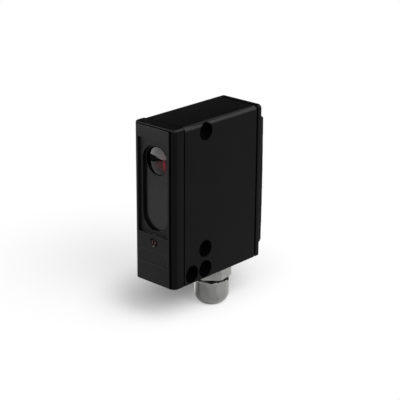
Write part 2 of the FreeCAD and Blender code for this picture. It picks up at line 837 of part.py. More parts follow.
def make_terminals():
    """Terminal board and block with one clamp and one screw for each conductor."""
    half = "board_half"
    board = block("terminal_board_item", (f"-{half}", half), ("terminal_front", "terminal_board_back"),
                  ("room_floor + board_end_gap", "board_top"))
    shank = rod("board_notch", "z", ("middle", "gland_y"), "shank_radius + board_side_gap",
                "foot", "foot + shank_length + board_end_gap")
    node("terminal_board", cut("terminal_board_cut", board, shank))

    body = new_body("terminal_body")
    shell = sketch_on(body, "XZ_Plane", "terminal_outline", "terminal_board_back")
    rectangle(shell, "-terminal_width / 2", "terminal_width / 2", "block_foot", "block_foot + block_length")
    pad(body, shell, "terminal_depth")
    wells = sketch_on(body, "XZ_Plane", "screw_wells", "block_back")
    mouths = sketch_on(body, "YZ_Plane", "wire_mouths", "terminal_width / 2")
    heights = []
    for index in range(round(value("terminal_count"))):
        heights.append(f"(block_foot + ({index} + 0.5) * terminal_pitch)")
    for height in heights:
        circle(wells, "middle", height, "well_radius")
        rectangle(mouths, "wire_axis - wire_mouth / 2", "wire_axis + wire_mouth / 2",
                  f"{height} - wire_mouth / 2", f"{height} + wire_mouth / 2")
    pocket(body, wells, "block_back - wire_axis", -1)
    pocket(body, mouths, "wire_mouth_reach", -1)
    node("terminal_block", body)

    cages = []
    screws = []
    reach = "wire_mouth / 2 - clamp_gap"
    inner = f"({reach} - clamp_wall)"
    for index, height in enumerate(heights, start=1):
        outer = block(f"clamp_{index}_outer", ("-clamp_width / 2", "clamp_width / 2"),
                      (f"wire_axis - ({reach})", f"wire_axis + {reach}"),
                      (f"{height} - ({reach})", f"{height} + {reach}"))
        mouth = block(f"clamp_{index}_mouth", ("-clamp_width", "clamp_width"),
                      (f"wire_axis - {inner}", f"wire_axis + {inner}"),
                      (f"{height} - {inner}", f"{height} + {inner}"))
        cages.append(cut(f"clamp_{index}", outer, mouth))
        seat = f"wire_axis + {reach}"
        top = "block_back - terminal_head_height"
        shaft = rod(f"clamp_screw_{index}_shaft", "y", ("middle", height),
                    "terminal_screw_radius", seat, top)
        head_end = "block_back - clamp_gap"
        head = rod(f"clamp_screw_{index}_head", "y", ("middle", height),
                   "terminal_head_radius", top, head_end)
        slot = block(f"clamp_screw_{index}_slot", ("-terminal_head_radius", "terminal_head_radius"),
                     (f"{head_end} - terminal_slot_depth", "block_back"),
                     (f"{height} - terminal_slot_width / 2", f"{height} + terminal_slot_width / 2"))
        screws.append(cut(f"clamp_screw_{index}", fuse(f"clamp_screw_{index}_solid", shaft, head), slot))
    node("terminal_clamps", group("clamp_group", cages))
    node("terminal_screws", group("clamp_screw_group", screws))


def make_adjuster(word, x, radius):
    """Case on the terminal board with a slotted spindle that turns in it."""
    half = "adjuster_size / 2"
    case = block(f"{word}_case_item", (f"{x} - {half}", f"{x} + {half}"),
                 ("terminal_board_back", "adjuster_back"),
                 (f"adjuster_rise - {half}", f"adjuster_rise + {half}"))
    seat = "terminal_board_back + spindle_seat"
    bore = rod(f"{word}_bore", "y", (x, "adjuster_rise"), f"{radius} + spindle_gap",
               seat, "adjuster_back + spindle_seat")
    tip = "adjuster_back + spindle_proud"
    spindle = rod(f"{word}_shaft", "y", (x, "adjuster_rise"), radius, f"{seat} + spindle_gap", tip)
    slot = block(f"{word}_slot", (f"{x} - spindle_slot_width / 2", f"{x} + spindle_slot_width / 2"),
                 (f"{tip} - spindle_slot_depth", f"{tip} + spindle_slot_depth"),
                 (f"adjuster_rise - 2 * ({radius})", f"adjuster_rise + 2 * ({radius})"))
    return cut(f"{word}_case_cut", case, bore), cut(f"{word}_turning", spindle, slot)


def make_adjusters():
    case, spindle = make_adjuster("range", "-adjuster_place", "spindle_radius")
    node("range_adjuster_case", case)
    node("range_adjuster_spindle", spindle)
    case, rotor = make_adjuster("mode", "adjuster_place", "rotor_radius")
    node("mode_switch_case", case)
    node("mode_switch_rotor", rotor)


def make_cover():
    """Gasket and rear cover with its raised, slightly crowned field."""
    gasket = new_body("gasket_body")
    ring = sketch_on(gasket, "XZ_Plane", "gasket_outline", "rear")
    side = "half_width - gasket_inset"
    end = "top - gasket_inset"
    rectangle(ring, f"-({side})", side, f"-({end})", end)
    side = "room_half - gasket_opening_lap"
    low = "room_floor + gasket_opening_lap"
    rectangle(ring, f"-({side})", side, low, "screw_z - boss_radius - gasket_opening_lap")
    for x, z in corner_spots():
        circle(ring, x, z, "clear_hole_radius")
    pad(gasket, ring, "gasket_thickness")
    high = value(end)
    round_edges(gasket, "edge_round - gasket_inset",
                lambda e: runs_along(e, "y") and close(e.BoundBox.ZMin, high))
    node("cover_gasket", gasket)

    body = new_body("cover_body")
    slab = sketch_on(body, "XZ_Plane", "cover_outline", "cover_face")
    rectangle(slab, "-half_width", "half_width", "foot", "top")
    pad(body, slab, "cover_thickness")
    high = value("top")
    round_edges(body, "edge_round", lambda e: runs_along(e, "y") and close(e.BoundBox.ZMin, high))
    round_edges(body, "foot_round", lambda e: runs_along(e, "y") and close(e.BoundBox.ZMax, -high))
    back = value("cover_back")
    round_edges(body, "cover_round", lambda e: e.BoundBox.YLength < 1e-4 and close(e.BoundBox.YMin, back))

    field = sketch_on(body, "YZ_Plane", "field_profile", "-(half_width - field_side)")
    root = value("cover_back")
    rise = value("cover_back + field_rise")
    crown = value("cover_back + field_rise + field_crown")
    base = value("top - field_end")
    brink = value("top - field_end - field_slope")
    curve = Part.Arc(Vector(rise, -brink, 0), Vector(crown, 0, 0), Vector(rise, brink, 0))
    inner = value("cover_back - cover_round")
    spots = [(rise, brink), (root, base), (inner, base), (inner, -base), (root, -base), (rise, -brink)]
    names = [("cover_back + field_rise", "top - field_end - field_slope"), ("cover_back", "top - field_end"),
             ("cover_back - cover_round", "top - field_end"), ("cover_back - cover_round", "field_end - top"),
             ("cover_back", "field_end - top"), ("cover_back + field_rise", "field_end + field_slope - top")]
    for start, end in zip(spots, spots[1:]):
        field.addGeometry(Part.LineSegment(Vector(*start, 0), Vector(*end, 0)))
    arc = field.addGeometry(curve)
    for index in range(len(spots) - 2):
        field.addConstraint(Sketcher.Constraint("Coincident", index, 2, index + 1, 1))
    for index, (y, z) in enumerate(names[:-1]):
        pin_point(field, index, 1, y, z)
    last = len(spots) - 2
    pin_point(field, last, 2, *names[-1])
    ends = {True: (1, 2), False: (2, 1)}[field.getPoint(arc, 1).y < 0]
    field.addConstraint(Sketcher.Constraint("Coincident", last, 2, arc, ends[0]))
    field.addConstraint(Sketcher.Constraint("Coincident", arc, ends[1], 0, 1))
    chord = "(top - field_end - field_slope)"
    bind(field, "Radius", f"({chord} ^ 2 + field_crown ^ 2) / (2 * field_crown)", arc)
    pad(body, field, "2 * (half_width - field_side)")
    top_of_root = value("cover_back + field_rise")
    round_edges(body, "field_round", lambda e: e.BoundBox.YMin > top_of_root - 1e-3)

    hollow = sketch_on(body, "XZ_Plane", "cover_hollow", "cover_face")
    side = "half_width - cover_hollow_side"
    end = "top - cover_hollow_end"
    rectangle(hollow, f"-({side})", side, f"-({end})", end)
    pocket(body, hollow, "cover_thickness + field_rise - cover_skin")
    holes = sketch_on(body, "XZ_Plane", "cover_holes", "cover_face")
    seats = sketch_on(body, "XZ_Plane", "head_seats", "head_seat")
    for x, z in corner_spots():
        circle(holes, x, z, "clear_hole_radius")
        circle(seats, x, z, "head_recess_radius")
    pocket(body, holes, "cover_thickness")
    pocket(body, seats, "head_recess_depth")
    node("rear_cover", body)


def make_cover_screws():
    """Cross-recess pan head screws and the threaded inserts that take them."""
    screws = []
    inserts = []
    half = "screw_drive_width / 2"
    reach = "screw_drive_length / 2"
    for index, (x, z) in enumerate(corner_spots(), start=1):
        shaft = rod(f"cover_screw_{index}_shaft", "y", (x, z), "screw_radius",
                    "head_seat - screw_length", "head_seat")
        face = "head_seat + screw_head_height"
        head = rod(f"cover_screw_{index}_head", "y", (x, z), "screw_head_radius", "head_seat", face)
        depth = (f"{face} - screw_drive_depth", f"{face} + screw_drive_depth")
        flat = block(f"cover_screw_{index}_flat", (f"{x} - {reach}", f"{x} + {reach}"), depth,
                     (f"{z} - {half}", f"{z} + {half}"))
        upright = block(f"cover_screw_{index}_upright", (f"{x} - {half}", f"{x} + {half}"), depth,
                        (f"{z} - {reach}", f"{z} + {reach}"))
        solid = fuse(f"cover_screw_{index}_solid", shaft, head)
        screws.append(cut(f"cover_screw_{index}", solid, flat, upright))
        sleeve = rod(f"insert_{index}_sleeve", "y", (x, z), "insert_radius", "rear - insert_length", "rear")
        bore = rod(f"insert_{index}_bore", "y", (x, z), "screw_radius + screw_gap",
                   "rear - 2 * insert_length", "rear + insert_length")
        inserts.append(cut(f"insert_{index}", sleeve, bore))
    node("cover_screws", group("cover_screw_group", screws))
    node("cover_inserts", group("insert_group", inserts))


def hexagon(name, low, high, turned):
    """Upright hexagonal bar with the gland's size across flats."""
    bar = doc.addObject("Part::Prism", name)
    bar.Polygon = 6
    bar.setExpression("Circumradius", formula("gland_flat / sqrt(3)"))
    bar.setExpression("Height", formula(f"({high}) - ({low})"))
    bar.Placement.Rotation = Rotation(Vector(0, 0, 1), 1)
    bar.setExpression("Placement.Rotation.Angle", formula(f"{turned} * 1 deg"))
    place(bar, "middle", "gland_y", low)
    return bar


def gland_rod(name, radius, low, high, end_radius=None):
    return rod(name, "z", ("middle", "gland_y"), radius, low, high, end_radius)


def eased(name, item, amount, test, kind="Fillet"):
    """Part fillet or chamfer of the edges that pass the test."""
    doc.recompute()
    feature = doc.addObject(f"Part::{kind}", name)
    feature.Base = item
    numbers = [int(label[4:]) for label in edges_where(item.Shape, test)]
    feature.Edges = [(number, value(amount), value(amount)) for number in numbers]
    return feature


def make_gland():
    """Cable gland: threaded body, seal ring, clamping cage, rubber seal and domed nut."""
    corner = "gland_flat / sqrt(3)"
    collar_foot = value("collar_foot")
    collar_top = value("collar_top")
    bar = hexagon("collar_bar", "collar_foot", "collar_top", "collar_turn")
    blank = gland_rod("collar_blank", corner, "collar_foot", "collar_top")
    ends = (collar_foot, collar_top)
    drum = eased("collar_drum", blank, "collar_chamfer",
                 lambda e: any(close(e.BoundBox.ZMin, end) for end in ends), "Chamfer")
    collar = doc.addObject("Part::Common", "collar")
    collar.Base = bar
    collar.Tool = drum
    shank = gland_rod("shank", "shank_radius", "collar_top", "foot + shank_length")
    neck = gland_rod("neck", "neck_radius", "neck_foot", "collar_foot")
    entry = gland_rod("entry", "entry_bore", "neck_foot - nut_gap", "foot + shank_length + nut_gap")
    pocket_bore = gland_rod("cage_pocket", "neck_bore", "neck_foot - nut_gap", "collar_foot")
    node("gland_body", cut("gland_body_cut", fuse("gland_solid", collar, shank, neck), entry, pocket_bore))

    ring = gland_rod("ring_outer_rod", "ring_outer", "collar_top", "foot")
    hole = gland_rod("ring_inner_rod", "ring_inner", "collar_top - ring_height", "foot + ring_height")
    node("gland_o_ring", cut("gland_ring", ring, hole))

    blank_foot = value("nut_blank_foot")
    nut_top = value("nut_top")
    blank = gland_rod("nut_blank", f"{corner} - nut_corner_cut", "nut_blank_foot", "nut_top")
    domed = eased("nut_dome", blank, "nut_round", lambda e: close(e.BoundBox.ZMax, blank_foot))
    crisp = eased("nut_drum", domed, "nut_top_chamfer", lambda e: close(e.BoundBox.ZMin, nut_top), "Chamfer")
    nut = doc.addObject("Part::Common", "nut_solid")
    nut.Base = hexagon("nut_bar", "nut_foot", "nut_top", "nut_turn")
    nut.Tool = crisp
    thread = gland_rod("nut_thread", "neck_radius + nut_thread_gap", "nut_top - nut_thread_length",
                       "nut_top + nut_gap")
    taper = gland_rod("nut_taper", "nut_mouth", "nut_foot + nut_lip", "nut_top - nut_thread_length",
                      "neck_radius + nut_thread_gap")
    mouth = gland_rod("nut_mouth_rod", "nut_mouth", "nut_foot - nut_gap", "nut_top")
    node("gland_nut", cut("gland_nut_cut", nut, thread, taper, mouth))

    sleeve = gland_rod("cage_sleeve", "neck_bore - cage_gap", "neck_foot", "cage_top")
    rim = gland_rod("cage_flange", "neck_radius - cage_gap", "neck_foot - cage_rim", "neck_foot")
    tip = "cage_top - cage_length"
    fingers = gland_rod("cage_fingers", "nut_mouth", tip, "neck_foot - cage_rim", "neck_bore")
    bore = gland_rod("cage_bore", "seal_outer + cage_gap", f"{tip} - cage_rim", "cage_top + cage_rim")
    slits = []
    for index in range(round(value("cage_slits") / 2)):
        angle = index * 360 / value("cage_slits")
        slit = block(f"cage_slit_{index + 1}", ("-cage_slit_width / 2", "cage_slit_width / 2"),
                     ("-neck_radius", "neck_radius"), (f"{tip} - cage_rim", "neck_foot - cage_rim"))
        slit.Placement.Rotation = Rotation(Vector(0, 0, 1), angle)
        across = f"cos({angle} deg)"
        along = f"sin({angle} deg)"
        place(slit, f"neck_radius * {along} - cage_slit_width / 2 * {across}",
              f"gland_y - cage_slit_width / 2 * {along} - neck_radius * {across}", f"{tip} - cage_rim")
        slits.append(slit)
    node("gland_cage", cut("gland_cage_cut", fuse("cage_solid", sleeve, rim, fingers), bore, *slits))

    rubber = gland_rod("seal_sleeve", "seal_outer", "cage_top - gland_seal_length", "cage_top")
    hole = gland_rod("seal_bore", "cable_radius", "cage_top - 2 * gland_seal_length", "cage_top + cage_rim")
    node("gland_seal", cut("gland_seal_cut", rubber, hole))


def check_and_write():
    """Stop on any failed feature or bad shape, then write one STEP file for each piece."""
    doc.recompute()
    failed = [item.Name for item in doc.Objects if {"Invalid", "Error"} & set(item.State)]
    if failed:
        raise RuntimeError(f"features failed: {failed}")
    for name, item in pieces.items():
        if item.Shape.isNull() or not item.Shape.isValid() or not item.Shape.Solids:
            raise RuntimeError(f"{name} has no good shape")
    os.makedirs("parts", exist_ok=True)
    for name, item in pieces.items():
        item.Shape.exportStep(f"parts/{name}.step")
        print(f"{name}: {len(item.Shape.Solids)} solids, {item.Shape.Volume:.1f} mm3")


make_housing()
make_hood()
make_front_plate()
make_optics()
make_status_light()
make_boards()
make_terminals()
make_adjusters()
make_cover()
make_cover_screws()
make_gland()
check_and_write()
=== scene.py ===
import json
import math

import bmesh
import bpy
from mathutils import Matrix, Vector


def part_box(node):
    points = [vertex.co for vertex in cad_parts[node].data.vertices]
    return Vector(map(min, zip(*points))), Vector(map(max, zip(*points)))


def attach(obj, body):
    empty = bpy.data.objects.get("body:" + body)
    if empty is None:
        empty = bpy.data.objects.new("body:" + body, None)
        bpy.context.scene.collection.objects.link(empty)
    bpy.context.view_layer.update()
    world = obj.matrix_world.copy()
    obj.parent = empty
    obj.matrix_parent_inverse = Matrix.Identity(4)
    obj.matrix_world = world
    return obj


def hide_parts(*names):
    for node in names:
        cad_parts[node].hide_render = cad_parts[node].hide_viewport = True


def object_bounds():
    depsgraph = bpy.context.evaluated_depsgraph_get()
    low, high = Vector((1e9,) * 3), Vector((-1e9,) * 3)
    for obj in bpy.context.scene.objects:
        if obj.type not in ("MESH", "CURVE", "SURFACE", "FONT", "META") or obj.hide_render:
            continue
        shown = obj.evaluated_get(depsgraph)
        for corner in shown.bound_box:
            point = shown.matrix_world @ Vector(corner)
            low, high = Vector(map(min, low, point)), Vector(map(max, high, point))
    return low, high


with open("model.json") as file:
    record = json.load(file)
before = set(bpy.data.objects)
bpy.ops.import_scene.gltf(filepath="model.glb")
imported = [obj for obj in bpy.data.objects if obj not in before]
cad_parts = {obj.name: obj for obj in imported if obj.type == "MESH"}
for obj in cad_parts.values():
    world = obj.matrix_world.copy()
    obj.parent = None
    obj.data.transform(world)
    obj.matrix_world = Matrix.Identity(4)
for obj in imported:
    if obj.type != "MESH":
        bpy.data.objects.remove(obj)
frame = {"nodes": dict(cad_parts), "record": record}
cadLow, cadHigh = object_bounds()
nodes = frame["nodes"]
mm = 0.001
print("frame loaded:", len(nodes), "nodes")


class Wire:  # a shader value that can be used in plain arithmetic
    def __init__(self, paint, socket):
        self.paint = paint
        self.socket = socket

    def math(self, operation, other=None, flip=False):
        sides = [self, other] if not flip else [other, self]
        inputs = {index: side for index, side in enumerate(sides) if side is not None}
        return self.paint.node("ShaderNodeMath", {"operation": operation}, inputs)

    def __add__(self, other):
        return self.math("ADD", other)

    def __sub__(self, other):
        return self.math("SUBTRACT", other)

    def __mul__(self, other):
        return self.math("MULTIPLY", other)

    def __truediv__(self, other):
        return self.math("DIVIDE", other)

    def __rsub__(self, other):
        return self.math("SUBTRACT", other, flip=True)

    __radd__ = __add__
    __rmul__ = __mul__

    def smooth(self, low, high):  # 0 below low, 1 above high
        settings = {"interpolation_type": "SMOOTHSTEP"}
        inputs = {"Value": self, "From Min": low, "From Max": high}
        return self.paint.node("ShaderNodeMapRange", settings, inputs)


class Paint:  # the node tree of one material, or of the world
    def __init__(self, name, owner=None):
        self.owner = owner or bpy.data.materials.new(name)
        self.owner.use_nodes = True
        self.tree = self.owner.node_tree
        self.tree.nodes.clear()
        self.place = self.node("ShaderNodeTexCoord", output="Generated" if owner else "Object")

    def node(self, kind, settings=None, inputs=None, output=0):
        item = self.tree.nodes.new(kind)
        for name, setting in (settings or {}).items():
            setattr(item, name, setting)
        for name, given in (inputs or {}).items():
            self.feed(item.inputs[name], given)
        return Wire(self, item.outputs[output])

    def feed(self, socket, given):
        if isinstance(given, Wire):
            self.tree.links.new(given.socket, socket)
        else:
            socket.default_value = given

    def vector(self, operation, first, second):
        return self.node("ShaderNodeVectorMath", {"operation": operation}, {0: first, 1: second})

    def noise(self, scale, detail=2.0, stretch=(1, 1, 1)):
        spot = self.node("ShaderNodeMapping", None, {"Vector": self.place, "Scale": stretch})
        return self.node("ShaderNodeTexNoise", None, {"Vector": spot, "Scale": scale, "Detail": detail})

    def axis(self, name):
        return self.node("ShaderNodeSeparateXYZ", None, {"Vector": self.place}, name)

    def blend(self, mask, first, second):
        return self.node("ShaderNodeMix", {"data_type": "RGBA"}, {0: mask, 6: first, 7: second}, 2)

    def bump(self, height, distance, strength):
        inputs = {"Height": height, "Distance": distance, "Strength": strength}
        return self.node("ShaderNodeBump", None, inputs)

    def rays(self, *kinds):  # 1 for rays of these kinds
        path = self.tree.nodes.new("ShaderNodeLightPath").outputs
        found = [Wire(self, path[f"Is {kind} Ray"]) for kind in kinds]
        return sum(found[1:], found[0]).math("MINIMUM", 1.0)

    def finish(self, **sockets):
        named = {name.replace("_", " "): given for name, given in sockets.items()}
        return self.show(self.node("ShaderNodeBsdfPrincipled", None, named))

    def show(self, shader, kind="ShaderNodeOutputMaterial"):
        output = self.tree.nodes.new(kind)
        self.tree.links.new(shader.socket, output.inputs["Surface"])
        return self.owner


def shade(red, green=None, blue=None):  # a linear colour, grey if one number is given
    if green is None:
        green = blue = red
    return (red, green, blue, 1.0)


def tinted(colour, share):
    return shade(*[channel * share for channel in colour[:3]])


moulded = {
    "grainSize": 2600,       # noise scale of the sparked texture
    "grainHeight": 0.03 * mm,
    "grainStrength": 0.6,
    "cloudSize": 55,
    "cloudEdges": (0.35, 0.65),
    "cloudSpread": 0.18,     # share by which the black varies
    "cloudHeight": 0.3,      # against the grain's
    "roughSpread": 0.12,
}


def mouldedPlastic(name, colour, rough, grain=1.0, specular=0.06):
    paint = Paint(name)
    cloud = paint.noise(moulded["cloudSize"], detail=3)
    fine = paint.noise(moulded["grainSize"], detail=2)
    spread = moulded["cloudSpread"]
    mask = cloud.smooth(*moulded["cloudEdges"])
    tone = paint.blend(mask, tinted(colour, 1 - spread), tinted(colour, 1 + spread))
    relief = fine + cloud * moulded["cloudHeight"]
    normal = paint.bump(relief, moulded["grainHeight"] * grain, moulded["grainStrength"])
    roughness = fine * moulded["roughSpread"] + (rough - moulded["roughSpread"] / 2)
    return paint.finish(Base_Color=tone, Roughness=roughness, Normal=normal, Specular_IOR_Level=specular)


glossy = {
    "rippleSize": 120,
    "rippleHeight": 0.02 * mm,
    "rippleStrength": 0.15,
    "hazeSize": 700,
    "hazeEdges": (0.3, 0.7),
    "hazeTint": 1.15,
    "roughSpread": 0.05,
}


def glossyPlastic(name, colour, rough, specular):
    paint = Paint(name)
    ripple = paint.noise(glossy["rippleSize"], detail=1)
    haze = paint.noise(glossy["hazeSize"], detail=3)
    tone = paint.blend(haze.smooth(*glossy["hazeEdges"]), colour, tinted(colour, glossy["hazeTint"]))
    normal = paint.bump(ripple, glossy["rippleHeight"], glossy["rippleStrength"])
    return paint.finish(Base_Color=tone, Roughness=haze * glossy["roughSpread"] + rough, Normal=normal,
                        Specular_IOR_Level=specular)


plated = {
    "lineSize": 300,
    "lineHeight": 0.01 * mm,
    "lineStrength": 0.5,
    "lineRough": 0.12,
    "blotchSize": 180,
    "blotchEdges": (0.3, 0.7),
    "blotchTint": 0.88,
    "blotchRough": 0.06,
}


def platedMetal(name, colour, rough, brushed=(1, 1, 30)):
    paint = Paint(name)
    lines = paint.noise(plated["lineSize"], detail=3, stretch=brushed)
    blotch = paint.noise(plated["blotchSize"], detail=2)
    tone = paint.blend(blotch.smooth(*plated["blotchEdges"]), colour, tinted(colour, plated["blotchTint"]))
    level = rough - (plated["lineRough"] + plated["blotchRough"]) / 2
    roughness = lines * plated["lineRough"] + blotch * plated["blotchRough"] + level
    normal = paint.bump(lines, plated["lineHeight"], plated["lineStrength"])
    return paint.finish(Base_Color=tone, Metallic=1.0, Roughness=roughness, Normal=normal)


rubber = {
    "grainSize": 1800,
    "grainEdges": (0.3, 0.7),
    "grainTint": 1.3,
    "grainHeight": 0.05 * mm,
    "grainStrength": 0.5,
    "rough": 0.72,
    "roughSpread": 0.1,
    "specular": 0.05,
}


def rubberSkin(name, colour):
    paint = Paint(name)
    grain = paint.noise(rubber["grainSize"], detail=3)
    tone = paint.blend(grain.smooth(*rubber["grainEdges"]), colour, tinted(colour, rubber["grainTint"]))
    normal = paint.bump(grain, rubber["grainHeight"], rubber["grainStrength"])
    return paint.finish(Base_Color=tone, Roughness=grain * rubber["roughSpread"] + rubber["rough"],
                        Normal=normal, Specular_IOR_Level=rubber["specular"])


board = {
    "lacquer": shade(0.010, 0.075, 0.028),
    "overCopper": shade(0.022, 0.125, 0.05),
    "hatchTurn": 45,         # degrees
    "hatchSize": 900,
    "hatchEdges": (0.10, 0.16),
    "islandSize": 160,
    "islandEdges": (0.30, 0.34),
    "rough": 0.38,
    "copperRough": -0.1,     # less than beside it
    "copperHeight": 0.04 * mm,
    "copperStrength": 0.6,
}


def circuitBoard(name):  # lacquered board with a hatched copper plane and clear islands for the parts
    paint = Paint(name)
    turn = (0, math.radians(board["hatchTurn"]), 0)
    turned = paint.node("ShaderNodeMapping", None, {"Vector": paint.place, "Rotation": turn})
    squares = {"Vector": turned, "Scale": board["hatchSize"], "Randomness": 0.0}
    cells = paint.node("ShaderNodeTexVoronoi", {"feature": "DISTANCE_TO_EDGE"}, squares)
    islands = {"Vector": paint.place, "Scale": board["islandSize"]}
    spots = paint.node("ShaderNodeTexVoronoi", {"feature": "F1"}, islands)
    hatch = 1 - cells.smooth(*board["hatchEdges"])
    copper = hatch * spots.smooth(*board["islandEdges"])
    tone = paint.blend(copper, board["lacquer"], board["overCopper"])
    normal = paint.bump(copper, board["copperHeight"], board["copperStrength"])
    roughness = copper * board["copperRough"] + board["rough"]
    return paint.finish(Base_Color=tone, Roughness=roughness, Normal=normal)


resin = {
    "swirlSize": 500,
    "swirlTint": 0.7,
    "rough": 0.12,
    "roughSpread": 0.05,
    "clear": 0.4,
    "ior": 1.5,
}


def ledResin(name, colour):
    paint = Paint(name)
    swirl = paint.noise(resin["swirlSize"], detail=2)
    tone = paint.blend(swirl, colour, tinted(colour, resin["swirlTint"]))
    return paint.finish(Base_Color=tone, Roughness=swirl * resin["roughSpread"] + resin["rough"],
                        Transmission_Weight=resin["clear"], IOR=resin["ior"])


glass = {
    "tint": shade(0.022, 0.02, 0.02),       # dark filter glass
    "ior": 1.3,                             # bloomed, so it mirrors less than plain glass
    "hazeSize": 400,
    "hazeRough": 0.01,
    "glows": [                              # painted glow on the lens for the sender's red light: place and reach in millimetres, colour
        ((5.3, 23.6), (0.9, 3.7), shade(0.098, 0.0, 0.007)),
        ((5.3, 22.4), (2.0, 5.2), shade(0.018, 0.0, 0.002)),
        ((3.4, 23.4), (3.2, 4.2), shade(0.016, 0.0, 0.001)),
        ((0.3, 22.6), (3.0, 2.2), shade(0.014, 0.0, 0.001)),
        ((4.6, 28.6), (3.2, 2.6), shade(0.020, 0.0, 0.002)),
    ],
}


def softSpot(paint, centre, reach, core=0.1):  # 1 at a place of the front, 0 at its reach and beyond
    across = (paint.axis("X") - centre[0] * mm) / (reach[0] * mm)
    upright = (paint.axis("Z") - centre[1] * mm) / (reach[1] * mm)
    away = across * across + upright * upright
    return 1 - away.smooth(core, 1.0)


def glowing(paint, glows):  # the sum of soft spots of painted light
    total = None
    for centre, reach, colour in glows:
        glow = paint.blend(softSpot(paint, centre, reach), shade(0.0), colour)
        total = paint.vector("ADD", total, glow) if total else glow
    return total


def lensGlass(name):
    paint = Paint(name)
    haze = paint.noise(glass["hazeSize"], detail=2)
    # painted glow: emission placed by position on the lens surface
    return paint.finish(Base_Color=glass["tint"], Roughness=haze * glass["hazeRough"],
                        Transmission_Weight=1.0, IOR=glass["ior"],
                        Emission_Color=glowing(paint, glass["glows"]), Emission_Strength=1.0)


statusLight = {
    "colour": shade(0.005, 0.001, 0.0015),
    "swirlSize": 300,
    "swirlTint": 1.4,
    "rough": 0.12,
    "roughSpread": 0.04,
    "specular": 0.03,
    "glows": [                              # painted glow on the dome's surface standing in for two lit chips behind it, and a painted glint under them
        ((-0.4, -20.4), (0.45, 1.2), shade(0.11, 0.058, 0.064)),
        ((1.4, -20.7), (0.4, 1.2), shade(0.10, 0.05, 0.056)),
        ((0.3, -22.7), (0.9, 0.6), shade(0.11, 0.115, 0.11)),
    ],
}


def domeResin(name):
    paint = Paint(name)
    swirl = paint.noise(statusLight["swirlSize"], detail=2)
    colour = statusLight["colour"]
    tone = paint.blend(swirl, colour, tinted(colour, statusLight["swirlTint"]))
    roughness = swirl * statusLight["roughSpread"] + statusLight["rough"]
    # painted glow and glint: emission placed by position on the dome
    return paint.finish(Base_Color=tone, Roughness=roughness, Specular_IOR_Level=statusLight["specular"],
                        Emission_Color=glowing(paint, statusLight["glows"]), Emission_Strength=1.0)


finishes = {
    "casing": mouldedPlastic("casingBlack", shade(0.0014, 0.0014, 0.0015), 0.5, specular=0.07),
    "front_plate": mouldedPlastic("plateCharcoal", shade(0.0022, 0.0022, 0.0023), 0.45, 0.6, 0.13),
    "filter": glossyPlastic("filterPane", shade(0.006, 0.006, 0.0062), 0.2, 0.245),
    "lens_glass": lensGlass("lensClear"),
    "light_pipe": domeResin("domeRed"),
    "seal_rubber": rubberSkin("sealRubber", shade(0.001)),
    "carrier_plastic": mouldedPlastic("carrierBlack", shade(0.004), 0.6),
    "led_resin": ledResin("ledResin", shade(0.75, 0.2, 0.2)),
    "component_black": mouldedPlastic("componentBlack", shade(0.02), 0.45, specular=0.3),
    "circuit_board": circuitBoard("boardGreen"),
    "can_metal": platedMetal("canMetal", shade(0.7, 0.7, 0.72), 0.25),
    "brass": platedMetal("brassYellow", shade(0.72, 0.52, 0.22), 0.3),
    "terminal_plastic": mouldedPlastic("terminalGrey", shade(0.3, 0.32, 0.34), 0.45, specular=0.4),
    "screw_steel": platedMetal("screwSteel", shade(0.6, 0.61, 0.63), 0.3, (30, 30, 1)),
    "adjuster_case": mouldedPlastic("adjusterBlue", shade(0.02, 0.06, 0.28), 0.4, specular=0.4),
    "adjuster_spindle": mouldedPlastic("spindleWhite", shade(0.75, 0.75, 0.7), 0.4, specular=0.4),
    "nickel": platedMetal("nickelSatin", shade(0.3, 0.3, 0.29), 0.17),
    "cage_plastic": mouldedPlastic("cageNatural", shade(0.55, 0.55, 0.52), 0.4, specular=0.4),
}
highlightFinishes = {             # painted highlight: lighter copies of the same plastics with more specular, on rounded edges along the top
    "casing": mouldedPlastic("casingEdgeHighlight", shade(0.006), 0.6, 0.6, 0.3),
    "front_plate": mouldedPlastic("plateEdgeHighlight", shade(0.004), 0.34, 0.4, 0.28),
}
slotOf = {entry["node"]: entry["material_slot"] for entry in frame["record"]["subparts"]}
for nodeName, item in nodes.items():
    item.data.materials.clear()
    item.data.materials.append(finishes[slotOf[nodeName]])
print("finishes on", len(nodes), "nodes")


def addPiece(name, mesh, slot, body="sensor", replaces=()):
    mesh.materials.clear()
    mesh.materials.append(finishes[slot])
    item = bpy.data.objects.new(name, mesh)
    bpy.context.scene.collection.objects.link(item)
    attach(item, body)
    if replaces:
        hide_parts(*replaces)
    return item


thread = {
    "centre": (0.0, 21.9 * mm),
    "top": -54.0 * mm,
    "crest": 7.5 * mm,
    "root": 6.9 * mm,
    "ridge": 0.85,           # share of the depth that the helical crest fills
    "pitch": 1.5 * mm,
    "turns": 4.4,
    "runOut": 0.2,           # turns left free above it
    "stepsPerTurn": 40,
    "topSlack": 0.01 * mm,
    "crestSlack": 0.05 * mm,
}

softEdge = {
    "mergeWithin": 0.0005 * mm,
    "crownTrim": 0.06 * mm,  # off the rear cover's crown, so that its broken edges stay within its reach
    "segments": 2,
    "highlightBand": 3.5 * mm,  # depth below the top in which rounded edges get the painted highlight
    "slantLimit": 0.985,     # largest part of a normal that still counts as slanted
    "upLimit": 0.15,         # least upward part of a normal there
    "creaseAngle": 30,       # degrees above which an edge is broken
    "creases": {"gland_nut": 13, "gland_body": 13, "rear_cover": 62},   # the same where it differs
    "flatAngle": 0.4,        # degrees below which faces are joined
    "widths": {              # of the broken edge in millimetres
        "housing": 0.2, "optics_hood": 0.2, "front_plate": 0.12, "rear_cover": 0.15, "cover_gasket": 0.1,
        "gland_body": 0.15, "gland_nut": 0.15, "cover_screws": 0.1, "lens_carrier": 0.15,
    },
}


def isTopRound(face):  # part of a rounded edge along the top
    normal = face.normal
    slanted = max(abs(part) for part in normal) < softEdge["slantLimit"] and normal.z > softEdge["upLimit"]
    return slanted and face.center.z > cadHigh[2] - softEdge["highlightBand"]


